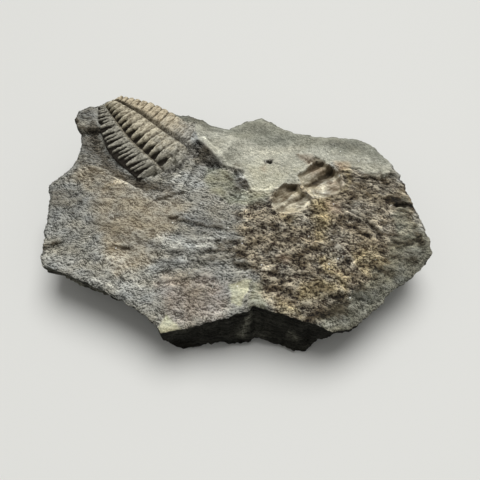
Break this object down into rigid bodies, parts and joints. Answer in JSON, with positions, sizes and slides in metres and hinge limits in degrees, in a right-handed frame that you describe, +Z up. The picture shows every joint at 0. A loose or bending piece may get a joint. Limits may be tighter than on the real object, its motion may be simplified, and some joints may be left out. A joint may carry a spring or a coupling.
{
  "type": "trilobite fossil slab",
  "caption": "Loose shale slab with a ribbed trilobite body standing up from its back left corner and small hollow moulds beside the middle.",
  "frame": {"origin": "on the surface that the slab lies on, under the middle of its box", "axes": "+X along the slab's length, +Y towards the edge with the ribbed fossil's tail, +Z up out of the fossil side"},
  "size_m": [0.1108, 0.0751, 0.0247],
  "materials": {
    "shale": "rough"
  },
  "bodies": {
    "root": {"fossil_slab": "shale"}
  },
  "joints": []
}
